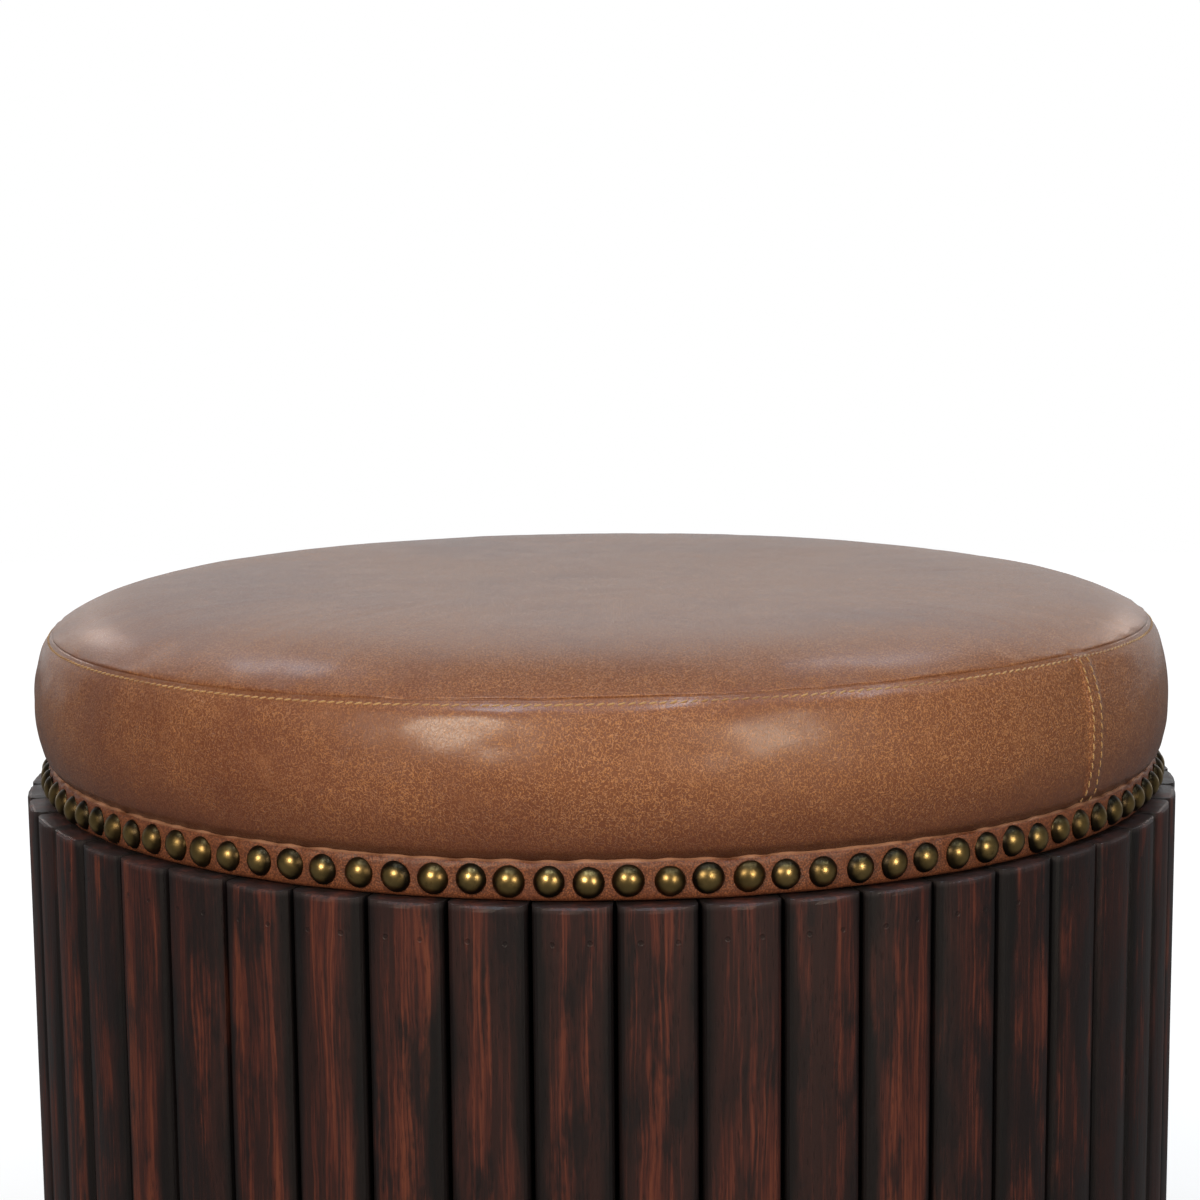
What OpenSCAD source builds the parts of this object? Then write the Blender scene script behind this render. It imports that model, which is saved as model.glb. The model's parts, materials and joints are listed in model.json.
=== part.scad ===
// Round drum stool: upright wooden slats on a hidden frame, under a nailed leather seat.
// Millimetres, +Z up, floor at Z = 0, drum axis on Z, front of the stool towards -Y.

/* [Drum] */
// Radius over the swelled faces of the slats
drum_r = 250; // [220:5:290]
// Height of the slats' top ends above the floor
slat_top = 364; // [300:2:420]
// Number of slats round the drum
slat_count = 52; // [44:4:56]
// Thickness of a slat from its back to the middle of its face
slat_t = 14; // [11:1:18]
// Gap between the backs of two neighbouring slats
slat_gap = 0.5; // [0.3:0.1:1]
// Swell of a slat's face
slat_swell = 1.6; // [0.8:0.2:2.4]
// Radius of a slat's two front corners
slat_corner = 3; // [1:0.5:4]
// Radius worn on the front edge of a slat's two ends
slat_end = 2; // [1:0.5:3]
// Turn from the front to the nearest gap between slats, in degrees
slat_turn = 1; // [0:0.5:3]

/* [Frame] */
// Height of each hoop that the slats are fixed to
hoop_h = 24; // [18:1:30]
// Width of each hoop from outside to inside
hoop_w = 30; // [24:1:40]
// Glue line between the slats' backs and the frame
glue_line = 0.2; // [0.1:0.1:0.4]
// Thickness of the base panel
base_t = 12; // [9:1:18]
// Number of posts that carry the seat
post_count = 4; // [3:1:6]
// Width of a post along the hoops
post_w = 44; // [30:2:60]
// Depth of a post towards the middle
post_d = 28; // [20:2:40]
// Number of screws through each hoop's flat side
hoop_screws = 8; // [6:1:10]

/* [Glides] */
// Number of glides under the base panel
glide_count = 6; // [4:1:8]
// Radius of a glide
glide_r = 14; // [10:1:16]
// Height of a glide, which lifts the slats off the floor
glide_h = 5; // [3:0.5:8]
// Length of a glide's nail
glide_nail = 18; // [14:1:24]
// Radius of a glide's nail
glide_nail_r = 1.4; // [1:0.1:2]

/* [Seat] */
// Width of the slats' ends left bare outside the band
ledge = 7; // [5:0.5:12]
// Thickness of the deck
deck_t = 18; // [15:1:21]
// Distance of the hand-fitted seat to the right of the drum's middle
seat_right = 1; // [-2:0.5:2]
// Distance of the hand-fitted seat in front of the drum's middle
seat_front = 3.5; // [0:0.5:3.5]
// Height of the cushion's seam above the slats
seam_h = 69.5; // [50:0.5:90]
// How far the seam lies inside the foot of the cushion's side
seam_in = 3.1; // [0:0.1:8]
// Bulge of the cushion's side between band and seam
bulge = 6; // [2:0.5:8]
// Rise of the top panel above the seam
crown = 16.5; // [8:0.5:30]
// Fullness of the crown: a high power keeps the top flat to near its edge
fullness = 9; // [4:1:12]
// Thickness of the wadding
wadding_t = 5; // [3:0.5:10]
// Thickness of the leather
leather_t = 1.4; // [1:0.1:2]
// Clearance between one layer of the seat and the next
layer_gap = 0.2; // [0.1:0.1:0.4]
// Radius of the leather where it rolls into the seam
seam_roll = 2.2; // [1.5:0.1:4]
// Depth of the crease along the seam
seam_sink = 1; // [0.4:0.1:1.2]
// Leather turned down inside the seam
seam_margin = 9; // [6:1:14]
// Turn from the front to the seam down the cushion's right side, in degrees
side_seam = 49; // [20:1:70]

/* [Band and nails] */
// Height of the leather band
band_h = 15; // [13:0.5:18]
// Thickness of the folded band
band_t = 2.2; // [1.6:0.2:3]
// Height of the band's lower edge above the slats
band_lift = 0.4; // [0.2:0.1:1]
// Radius of the band's outer edges
band_round = 0.9; // [0.4:0.1:1.2]
// Gap where the band's ends meet at the back
band_joint = 0.6; // [0.3:0.1:1]
// Number of dome-headed nails
nail_count = 108; // [96:4:116]
// Radius of a nail's head
nail_r = 5.5; // [4.5:0.25:6]
// Height of a nail's domed head
nail_dome = 3.2; // [2.4:0.2:4]
// Length of a nail's shank
nail_shank = 14; // [12:0.5:16]
// Radius of a nail's shank
shank_r = 0.9; // [0.7:0.1:1.2]
// Turn from the front to the nearest nail, in degrees
nail_turn = 2.1; // [0:0.1:3]
// How far the hand-set nails stray along and across the band
nail_stray = 0.5; // [0:0.1:0.7]

/* [Screws] */
// Radius of a wood screw's shank
screw_r = 2; // [1.5:0.25:2.5]
// Radius of a wood screw's countersunk head
screw_head = 4; // [3.5:0.25:5]
// Length of the screws into the deck and up through the base panel
screw_len = 34; // [30:1:38]
// Length of the screws through a hoop into a post
post_screw_len = 48; // [42:1:54]
// Clearance round a screw or a nail in its hole
hole_gap = 0.1; // [0.1:0.05:0.2]

/* [Hidden] */
$fn = 180;
arc_steps = 5;
face_steps = 8;
crown_steps = 20;
side_steps = 12;
nail_run = 12;
tip = 3;
point_r = 0.2;
over = 1;

slat_pitch = 360 / slat_count;
slat_back = drum_r - slat_t;
slat_w = 2 * slat_back * tan(slat_pitch / 2) - slat_gap;
slat_len = slat_top - glide_h;
face_r = (pow(slat_w / 2, 2) + pow(slat_swell, 2)) / (2 * slat_swell);
corner_x = slat_w / 2 - slat_corner;
corner_y = slat_t - face_r + sqrt(pow(face_r - slat_corner, 2) - pow(corner_x, 2));
corner_turn = atan2(corner_y - slat_t + face_r, corner_x);

hoop_r = slat_back - glue_line;
hoop_in = hoop_r - hoop_w;
hoop_mid = hoop_r - hoop_w / 2;
base_top = glide_h + base_t;
top_hoop_z = slat_top - hoop_h;
middle_hoop_z = (base_top + top_hoop_z) / 2;
post_face = sqrt(pow(hoop_in - glue_line, 2) - pow(post_w / 2, 2));
post_turn = 180 / post_count;
hoop_screw_turn = 180 / hoop_screws;

band_out = drum_r - ledge;
band_in = band_out - band_t;
side_r = band_in - layer_gap;
deck_r = side_r - leather_t - layer_gap;
seam_r = side_r - seam_in;
band_top = band_lift + band_h;
side_h = seam_h - band_top;
wadding_in = leather_t + layer_gap;
foam_in = wadding_in + wadding_t + layer_gap;
soft_floor = deck_t + layer_gap;
margin_t = 1 - seam_margin / side_h;
margin_in = 2 * leather_t + layer_gap;
margin_floor = band_top + (side_h - margin_in) * margin_t - layer_gap;
crease = [seam_r - seam_sink, seam_h - seam_sink / 2];
seam_edge = [seam_r, seam_h];
strip_turn = 180 - 360 * layer_gap / (2 * PI * side_r);
band_turn = 360 - 360 * band_joint / (2 * PI * band_in);
nail_pitch = 360 / nail_count;
nail_ball = (pow(nail_r, 2) + pow(nail_dome, 2)) / (2 * nail_dome);
nail_side_stray = rands(-nail_stray, nail_stray, nail_count, 11);
nail_lift_stray = rands(-nail_stray, nail_stray, nail_count, 23);

slat_pairs = slat_count / 2;
function pair_name(k) = str("slats_", k < 10 ? "0" : "", k);
function post_name(k) = str("post_", k);

leather_tan = [0.50, 0.29, 0.16];
leather_band = [0.42, 0.21, 0.13];
wood_dark = [0.20, 0.09, 0.06];
plywood = [0.72, 0.58, 0.40];
softwood = [0.76, 0.62, 0.42];
brass_old = [0.48, 0.38, 0.18];
steel = [0.62, 0.63, 0.65];
plastic_dark = [0.12, 0.11, 0.11];

// A point on an arc about c
function arc_point(c, r, a) = c + r * [cos(a), sin(a)];

// The cushion's side at t from 0 at the band to 1 at the seam, set in by inset
function side_point(t, inset) = [
    side_r + (seam_r - side_r) * t + 4 * bulge * t * (1 - t) - inset,
    band_top + (side_h - inset) * t
];

// The crown at q from 0 on the axis to 1 at the seam, set in by inset
function crown_point(q, inset) = [
    (seam_r - inset) * q,
    seam_h + crown * (1 - pow(q, fullness)) - inset
];

// Steps from 0 to 1 that close up towards 1
function closing(i, n) = 1 - pow(1 - i / n, 2);

// A rounded turn from a to b with its corner at k
function turn_point(a, k, b, u) = pow(1 - u, 2) * a + 2 * u * (1 - u) * k + pow(u, 2) * b;

// The way round the drum: 0 degrees is the front, and positive turns go to the right
module around(turn) {
    rotate([0, 0, turn]) children();
}

// What stands on the drum's front line, pointing outwards
module facing_out(radius, z) {
    translate([0, -radius, z]) rotate([90, 0, 0]) children();
}

// The seat's own middle, at the height of the slats' ends
module on_seat() {
    translate([seat_right, -seat_front, slat_top]) children();
}

// Slats

module slat_plan() {
    polygon([
        [slat_w / 2, 0],
        for (i = [0 : arc_steps])
            arc_point([corner_x, corner_y], slat_corner, corner_turn * i / arc_steps),
        for (i = [1 : face_steps - 1])
            arc_point([0, slat_t - face_r], face_r, corner_turn + (180 - 2 * corner_turn) * i / face_steps),
        for (i = [0 : arc_steps])
            arc_point([-corner_x, corner_y], slat_corner, 180 - corner_turn * (1 - i / arc_steps)),
        [-slat_w / 2, 0]
    ]);
}

module slat_side() {
    polygon([
        [0, 0],
        for (i = [0 : arc_steps])
            arc_point([slat_t - slat_end, slat_end], slat_end, -90 + 90 * i / arc_steps),
        for (i = [0 : arc_steps])
            arc_point([slat_t - slat_end, slat_len - slat_end], slat_end, 90 * i / arc_steps),
        [0, slat_len]
    ]);
}

module slat() {
    intersection() {
        linear_extrude(slat_len) slat_plan();
        translate([-slat_w, 0, 0]) rotate([90, 0, 90]) linear_extrude(2 * slat_w) slat_side();
    }
}

module slat_pair(k) {
    color(wood_dark)
        for (i = [2 * k - 2, 2 * k - 1])
            around(slat_turn + slat_pitch * (i + 0.5) + 180)
                translate([0, slat_back, glide_h]) slat();
}

// Fasteners

module wood_screw(length) {
    slot = screw_head / 4;
    difference() {
        union() {
            cylinder(r1 = screw_head, r2 = screw_r, h = screw_head - screw_r, $fn = 32);
            cylinder(r = screw_r, h = length - tip, $fn = 32);
            translate([0, 0, length - tip]) cylinder(r1 = screw_r, r2 = point_r, h = tip, $fn = 32);
        }
        for (a = [0, 90])
            rotate([0, 0, a]) cube([screw_head, slot, 2 * slot], center = true);
    }
}

module screw_hole(length) {
    translate([0, 0, -over]) cylinder(r = screw_r + hole_gap, h = length + 2 * over, $fn = 32);
    cylinder(
        r1 = screw_head + hole_gap, r2 = screw_r + hole_gap,
        h = screw_head - screw_r, $fn = 32
    );
    translate([0, 0, -over]) cylinder(r = screw_head + hole_gap, h = over, $fn = 32);
}

module at_hoop_screws(z) {
    for (i = [0 : hoop_screws - 1])
        around(hoop_screw_turn * (2 * i + 1)) translate([0, -hoop_mid, z]) children();
}

module at_post_ends(z) {
    for (k = [1 : post_count])
        around(post_turn * (2 * k - 1))
            translate([post_w / 4, post_d / 2 - post_face, z]) children();
}

module at_post_screws(hoop_z) {
    for (k = [1 : post_count])
        around(post_turn * (2 * k - 1))
            translate([0, -hoop_r, hoop_z + hoop_h / 2]) rotate([-90, 0, 0]) children();
}

module at_glides(z) {
    for (i = [0 : glide_count - 1])
        around(360 * i / glide_count) translate([0, -hoop_mid, z]) children();
}

module glide_nail_shape(gap) {
    length = glide_nail - tip + gap;
    cylinder(r = glide_nail_r + gap, h = length, $fn = 24);
    translate([0, 0, length]) cylinder(r1 = glide_nail_r + gap, r2 = point_r, h = tip, $fn = 24);
}

// Frame

module ring(outer, inner, height) {
    difference() {
        cylinder(r = outer, h = height);
        translate([0, 0, -over]) cylinder(r = inner, h = height + 2 * over);
    }
}

module hoop(z) {
    difference() {
        translate([0, 0, z]) ring(hoop_r, hoop_in, hoop_h);
        at_post_screws(z) screw_hole(post_screw_len);
    }
}

module top_hoop() {
    color(plywood)
        difference() {
            hoop(top_hoop_z);
            at_hoop_screws(top_hoop_z) screw_hole(screw_len);
        }
}

module middle_hoop() {
    color(plywood) hoop(middle_hoop_z);
}

module bottom_hoop() {
    color(plywood)
        difference() {
            hoop(base_top);
            at_hoop_screws(glide_h) screw_hole(screw_len);
            at_glides(glide_h) glide_nail_shape(hole_gap);
        }
}

module post(k) {
    color(softwood)
        difference() {
            around(post_turn * (2 * k - 1))
                translate([-post_w / 2, -post_face, base_top])
                    cube([post_w, post_d, slat_top - base_top]);
            for (z = [base_top, middle_hoop_z, top_hoop_z])
                at_post_screws(z) screw_hole(post_screw_len);
            at_post_ends(glide_h) screw_hole(screw_len);
        }
}

module post_screws() {
    color(steel)
        for (z = [base_top, middle_hoop_z, top_hoop_z])
            at_post_screws(z) wood_screw(post_screw_len);
}

module base_panel() {
    color(plywood)
        difference() {
            translate([0, 0, glide_h]) cylinder(r = hoop_r, h = base_t);
            at_hoop_screws(glide_h) screw_hole(screw_len);
            at_post_ends(glide_h) screw_hole(screw_len);
            at_glides(glide_h) glide_nail_shape(hole_gap);
        }
}

module base_screws() {
    color(steel) {
        at_hoop_screws(glide_h) wood_screw(screw_len);
        at_post_ends(glide_h) wood_screw(screw_len);
    }
}

module glides() {
    edge = glide_h / 3;
    color(plastic_dark)
        at_glides(0) {
            cylinder(r1 = glide_r - edge, r2 = glide_r, h = edge, $fn = 64);
            translate([0, 0, edge]) cylinder(r = glide_r, h = glide_h - edge, $fn = 64);
        }
}

module glide_nails() {
    color(steel) at_glides(glide_h) glide_nail_shape(0);
}

// Seat

// The nails in their runs, each nail facing outwards from the band
module at_nails() {
    for (start = [0 : nail_run : nail_count - 1])
        for (i = [start : min(start + nail_run, nail_count) - 1])
            around(nail_turn + nail_pitch * i + nail_side_stray[i] * 360 / (2 * PI * band_out))
                facing_out(band_out, band_lift + band_h / 2 + nail_lift_stray[i]) children();
}

module nail_holes() {
    at_nails()
        translate([0, 0, -nail_shank - over])
            cylinder(r = shank_r + hole_gap, h = nail_shank + 2 * over, $fn = 24);
}

module nail() {
    rotate_extrude($fn = 48) {
        intersection() {
            translate([0, nail_dome - nail_ball]) circle(r = nail_ball, $fn = 96);
            square([nail_r + over, nail_dome + over]);
        }
        polygon([
            [0, nail_dome / 2], [shank_r, nail_dome / 2],
            [shank_r, tip - nail_shank], [point_r, -nail_shank], [0, -nail_shank]
        ]);
    }
}

module nails() {
    color(brass_old) on_seat() at_nails() nail();
}

module seat_deck() {
    color(plywood)
        difference() {
            on_seat()
                difference() {
                    cylinder(r = deck_r, h = deck_t);
                    nail_holes();
                }
            at_hoop_screws(top_hoop_z) screw_hole(screw_len);
        }
}

module deck_screws() {
    color(steel) at_hoop_screws(top_hoop_z) wood_screw(screw_len);
}

module cushion_half(inset) {
    polygon([
        [0, band_top],
        for (i = [0 : side_steps]) side_point(i / side_steps, inset),
        for (i = [crown_steps - 1 : -1 : 0]) crown_point(closing(i, crown_steps), inset)
    ]);
}

module above_deck() {
    intersection() {
        translate([0, soft_floor]) square([drum_r, seam_h + crown]);
        children();
    }
}

module foam_core() {
    color("khaki")
        on_seat() rotate_extrude() above_deck() cushion_half(foam_in);
}

// The space that the turned-down margin of the top panel takes, with a clearance
module margin_space() {
    intersection() {
        translate([0, margin_floor]) square([drum_r, seam_h - margin_floor]);
        difference() {
            cushion_half(0);
            cushion_half(margin_in + layer_gap);
        }
    }
}

module wadding() {
    color("white")
        on_seat()
            rotate_extrude()
                above_deck()
                    difference() {
                        cushion_half(wadding_in);
                        cushion_half(foam_in - layer_gap);
                        margin_space();
                    }
}

module top_panel() {
    roll_q = 1 - seam_roll / seam_r;
    inner_q = (seam_r - margin_in) / (seam_r - leather_t);
    color(leather_tan)
        on_seat()
            rotate_extrude()
                polygon([
                    for (i = [0 : crown_steps]) crown_point(roll_q * closing(i, crown_steps), 0),
                    for (i = [1 : arc_steps])
                        turn_point(crown_point(roll_q, 0), seam_edge, crease, i / arc_steps),
                    for (i = [0 : 3]) side_point(1 - (1 - margin_t) * i / 3, leather_t + layer_gap),
                    for (i = [3 : -1 : 1]) side_point(1 - (1 - margin_t) * i / 3, margin_in),
                    for (i = [crown_steps : -1 : 0])
                        crown_point(inner_q * closing(i, crown_steps), leather_t)
                ]);
}

module boxing(turn) {
    roll_t = 1 - seam_roll / side_h;
    color(leather_tan)
        on_seat()
            rotate([0, 0, turn - 90])
                rotate_extrude(angle = strip_turn)
                    polygon([
                        [side_r - leather_t, band_lift],
                        [side_r, band_lift],
                        for (i = [0 : side_steps]) side_point(roll_t * i / side_steps, 0),
                        for (i = [1 : arc_steps])
                            turn_point(side_point(roll_t, 0), seam_edge, crease, i / arc_steps),
                        for (i = [side_steps : -1 : 0]) side_point(i / side_steps, leather_t)
                    ]);
}

module boxing_front() {
    difference() {
        boxing(side_seam - 180);
        on_seat() nail_holes();
    }
}

module boxing_back() {
    difference() {
        boxing(side_seam);
        on_seat() nail_holes();
    }
}

module band_section() {
    round_x = band_out - band_round;
    polygon([
        [band_in, band_lift],
        for (i = [0 : arc_steps])
            arc_point([round_x, band_lift + band_round], band_round, -90 + 90 * i / arc_steps),
        for (i = [0 : arc_steps])
            arc_point([round_x, band_top - band_round], band_round, 90 * i / arc_steps),
        [band_in, band_top]
    ]);
}

module nail_band() {
    color(leather_band)
        on_seat()
            difference() {
                rotate([0, 0, 90])
                    rotate_extrude(angle = band_turn)
                        band_section();
                nail_holes();
            }
}

top_panel();
boxing_front();
boxing_back();
nail_band();
nails();
wadding();
foam_core();
seat_deck();
deck_screws();
top_hoop();
middle_hoop();
bottom_hoop();
post_screws();
base_panel();
base_screws();
glides();
glide_nails();
for (k = [1 : post_count])
    post(k);
for (k = [1 : slat_pairs])
    slat_pair(k);
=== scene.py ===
# %% [markdown]
# # A drum stool with a nailed leather seat
#
# The stool is a ring of upright stained slats under a round cushion. The cushion is covered in
# smooth tan leather, and a narrow leather band with brass nails hides where the cover is fixed.
# The solids come packed from the part's own source. This script dresses them: it gives the
# leather its fullness, the wood its figure and the brass its patina.

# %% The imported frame
import bmesh
import bpy
import json
import math
import numpy as np
from mathutils import Matrix, Vector, noise
from mathutils.bvhtree import BVHTree

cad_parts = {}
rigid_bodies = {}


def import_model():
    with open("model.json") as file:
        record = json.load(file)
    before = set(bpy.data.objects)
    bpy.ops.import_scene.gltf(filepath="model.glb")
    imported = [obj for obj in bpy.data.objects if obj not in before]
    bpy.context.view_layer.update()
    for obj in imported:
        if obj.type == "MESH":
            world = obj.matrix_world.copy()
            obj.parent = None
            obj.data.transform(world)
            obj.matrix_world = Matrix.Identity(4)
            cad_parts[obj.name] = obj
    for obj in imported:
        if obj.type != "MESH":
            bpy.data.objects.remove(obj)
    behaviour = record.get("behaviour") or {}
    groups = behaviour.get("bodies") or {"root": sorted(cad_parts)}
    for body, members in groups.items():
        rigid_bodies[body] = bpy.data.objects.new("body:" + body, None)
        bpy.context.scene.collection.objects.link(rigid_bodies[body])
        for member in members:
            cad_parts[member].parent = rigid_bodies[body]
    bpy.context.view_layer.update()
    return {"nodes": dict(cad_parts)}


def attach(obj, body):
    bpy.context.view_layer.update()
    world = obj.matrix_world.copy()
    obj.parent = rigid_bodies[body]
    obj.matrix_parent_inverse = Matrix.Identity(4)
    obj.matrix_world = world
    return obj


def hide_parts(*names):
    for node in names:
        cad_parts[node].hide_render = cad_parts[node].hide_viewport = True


for leftover in list(bpy.data.objects):
    bpy.data.objects.remove(leftover)
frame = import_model()
print("nodes in the frame:", len(frame["nodes"]))

# %% [markdown]
# ## Sizes
#
# Lengths are in millimetres here, as on a maker's drawing, and every mesh is turned to metres
# by one factor when it is made. Angles round the drum start at the front and grow to the right.
# Heights on the seat start at the top of the slats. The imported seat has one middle. The dressed
# cover is drawn in a little and stands a little further to the front, so it has its own.

# %% Sizes of the drum and the seat
MM = 0.001
SLAT_COUNT = 52
SLAT_TOP = 364.0
SLAT_FOOT = 5.0
SLAT_LONG = SLAT_TOP - SLAT_FOOT
SLAT_BACK = 236.0
SLAT_THICK = 14.0
SLAT_PITCH = 2 * math.pi / SLAT_COUNT
SLAT_WIDE = 2 * SLAT_BACK * math.tan(SLAT_PITCH / 2) - 0.5
DECK_R = 239.0
DECK_T = 18.0
SEAT_MIDDLE = np.array([1.0, -3.5]) * MM
FOOT_RIGHT = 0.5
FOOT_FRONT = 5.6
FOOT_MIDDLE = np.array([FOOT_RIGHT, -FOOT_FRONT]) * MM
LEAN_RIGHT = -0.7
LEAN_FRONT = 0.5
RIM_R = 235.0
SIDE_R = 238.9
SEAM_R = 236.5
SEAM_H = 70.3
TOP_H = 86.2
BAND_TOP = 15.4
BAND_FOOT = 0.4
BAND_IN = 236.6
BAND_OUT = 238.8
NAIL_COUNT = 108
NAIL_PITCH = 2 * math.pi / NAIL_COUNT
NAIL_START = math.radians(2.1)
SIDE_SEAMS = (math.radians(49), math.radians(229))


def on_seat(turn, radius, height):
    """Places on the cover, in metres, from turns, radii and heights above the slats. The cover
    leans, so each height has its own middle: that of the foot up to the band's top, and past
    that it moves by a share of the lean."""
    share = np.clip((height - BAND_TOP) / (SEAM_H - BAND_TOP), 0, 1)
    return np.stack([
        (FOOT_RIGHT + LEAN_RIGHT * share + radius * np.sin(turn)) * MM,
        (-FOOT_FRONT - LEAN_FRONT * share - radius * np.cos(turn)) * MM,
        (SLAT_TOP + height) * MM + 0 * turn,
    ], axis=-1)


print("slat width", round(SLAT_WIDE, 2), "mm")

# %% [markdown]
# ## Node trees written as sums
#
# A material or a Geometry Nodes tree is easier to read as a line of arithmetic than as a list
# of links. `Wire` stands for one output of a node, and a sum of wires adds the Math nodes that
# work it out. `Tree.node` makes every other node: its settings go in first, then its inputs.

# %% Wires and trees
class Wire:
    """One output of a node, which can be used in a sum like a number."""

    def __init__(self, tree, made, out=0):
        self.tree = tree
        self.made = made
        self.socket = made.outputs[out]

    def out(self, name):
        return Wire(self.tree, self.made, name)

    def __add__(self, other):
        return self.tree.maths("ADD", self, other)

    def __radd__(self, other):
        return self.tree.maths("ADD", other, self)

    def __sub__(self, other):
        return self.tree.maths("SUBTRACT", self, other)

    def __rsub__(self, other):
        return self.tree.maths("SUBTRACT", other, self)

    def __mul__(self, other):
        return self.tree.maths("MULTIPLY", self, other)

    def __rmul__(self, other):
        return self.tree.maths("MULTIPLY", other, self)

    def __truediv__(self, other):
        return self.tree.maths("DIVIDE", self, other)

    def __pow__(self, other):
        return self.tree.maths("POWER", self, other)

    def __abs__(self):
        return self.tree.maths("ABSOLUTE", self)


class Tree:
    """A node tree that grows by its method node."""

    def __init__(self, tree):
        self.tree = tree

    def node(self, kind, settings=None, inputs=None, out=0):
        made = self.tree.nodes.new(kind)
        for name, value in (settings or {}).items():
            setattr(made, name, value)
        for name, value in (inputs or {}).items():
            if isinstance(value, Wire):
                self.tree.links.new(value.socket, made.inputs[name])
            else:
                made.inputs[name].default_value = value
        return Wire(self, made, out) if made.outputs else None

    def maths(self, operation, a, b=0.0):
        return self.node("ShaderNodeMath", {"operation": operation}, {0: a, 1: b})

    def vector(self, x, y, z):
        return self.node("ShaderNodeCombineXYZ", None, {"X": x, "Y": y, "Z": z})

    def parts(self, vector):
        """The three numbers of a vector."""
        split = self.node("ShaderNodeSeparateXYZ", None, {"Vector": vector})
        return split, split.out("Y"), split.out("Z")

    def stretch(self, vector, scale):
        return self.node("ShaderNodeVectorMath", {"operation": "MULTIPLY"}, {0: vector, 1: scale})

    def away(self, x, y):
        """The distance that two steps at right angles lead away."""
        return self.maths("SQRT", x * x + y * y)

    def arc(self, x):
        """The height of a circle of radius 1 over a point this far from its middle."""
        return self.maths("SQRT", self.maths("MAXIMUM", 1.0 - x * x, 0.0))

    def ease(self, value, low, high, to_low=0.0, to_high=1.0):
        """A smooth step from one value to another."""
        return self.node(
            "ShaderNodeMapRange", {"interpolation_type": "SMOOTHSTEP"},
            {"Value": value, "From Min": low, "From Max": high, "To Min": to_low, "To Max": to_high},
        )

    def noise(self, vector, scale, detail=2.0, roughness=0.5, distortion=0.0):
        """Smooth noise with one scale, or with a scale for each axis."""
        if isinstance(scale, tuple):
            vector = self.stretch(vector, scale)
            scale = 1.0
        return self.node("ShaderNodeTexNoise", None, {
            "Vector": vector, "Scale": scale, "Detail": detail,
            "Roughness": roughness, "Distortion": distortion,
        })


print("node helpers ready")

# %% [markdown]
# ## Finishes
#
# Each finish is one Principled shader. Colours are written as they look in a photograph and
# turned into the linear values that Blender works with. Only what changes over the surface is
# wired in. A number that is the same all over is set on the shader's own socket.

# %% A finish and its colours
def linear(red, green, blue):
    """A colour written as 0 to 255 on a screen, in Blender's linear values."""
    values = [c / 255 for c in (red, green, blue)]
    return [c / 12.92 if c <= 0.04045 else ((c + 0.055) / 1.055) ** 2.4 for c in values] + [1.0]


class Finish(Tree):
    """A material with one Principled shader."""

    def __init__(self, name, fixed=None):
        self.material = bpy.data.materials.new(name)
        self.material.use_nodes = True
        super().__init__(self.material.node_tree)
        self.tree.nodes.clear()
        self.shader = self.tree.nodes.new("ShaderNodeBsdfPrincipled")
        for socket, value in (fixed or {}).items():
            self.shader.inputs[socket].default_value = value
        self.end = self.tree.nodes.new("ShaderNodeOutputMaterial")
        self.tree.links.new(self.shader.outputs[0], self.end.inputs[0])

    def place(self):
        return self.node("ShaderNodeTexCoord").out("Object")

    def attribute(self, name, out="Vector"):
        return self.node("ShaderNodeAttribute", {"attribute_name": name}, out=out)

    def own_tone(self, name):
        """A random number from 0 to 1 for each whole number of an attribute."""
        number = self.attribute(name, "Fac") * 0.731
        return self.node("ShaderNodeTexWhiteNoise", {"noise_dimensions": "1D"}, {"W": number}).out("Value")

    def blend(self, first, second, share):
        return self.node(
            "ShaderNodeMix", {"data_type": "RGBA", "clamp_factor": True},
            {0: share, 6: first, 7: second}, out=2,
        )

    def layers(self, colour, *coats):
        """A colour under coats of other colours, each with the share that it covers."""
        for coat, share in coats:
            colour = self.blend(colour, linear(*coat), share)
        return colour

    def bump(self, height, depth, strength):
        return self.node("ShaderNodeBump", None, {"Height": height, "Distance": depth, "Strength": strength})

    def wear(self, **wires):
        """The material, once the wires feed the shader's sockets of the same names."""
        for name, wire in wires.items():
            self.tree.links.new(wire.socket, self.shader.inputs[name.replace("_", " ")])
        return self.material


print("the wood's red in linear values:", [round(c, 4) for c in linear(92, 42, 31)])

# %% [markdown]
# ## Camera
#
# The camera stands a little over a metre from the drum's middle and 13 cm above the cushion, and
# looks down by seven and a half degrees. It leans by half a degree, as a hand-held camera does.
# Its place and lens were fitted to the rims of the drum and the seat.

# %% Camera
def placed(name, data):
    """A new object in the scene, with its mesh, lamp or lens."""
    made = bpy.data.objects.new(name, data)
    bpy.context.scene.collection.objects.link(made)
    return made


CAMERA_PLACE = Vector((0.0, -1.0484, 0.5757))
CAMERA_DOWN = math.radians(7.507)
CAMERA_LEAN = math.radians(-0.513)
forward = Vector((0.0, math.cos(CAMERA_DOWN), -math.sin(CAMERA_DOWN)))
sideways = Vector((1.0, 0.0, 0.0))
upwards = sideways.cross(forward)
right = sideways * math.cos(CAMERA_LEAN) + upwards * math.sin(CAMERA_LEAN)
top = upwards * math.cos(CAMERA_LEAN) - sideways * math.sin(CAMERA_LEAN)
lens = bpy.data.cameras.new("camera")
lens.lens = 71.68
lens.sensor_width = 36.0
camera = placed("camera", lens)
camera.matrix_world = Matrix.Translation(CAMERA_PLACE) @ Matrix((right, top, -forward)).transposed().to_4x4()
bpy.context.scene.camera = camera
print("camera at", [round(c, 3) for c in camera.location])

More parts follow.
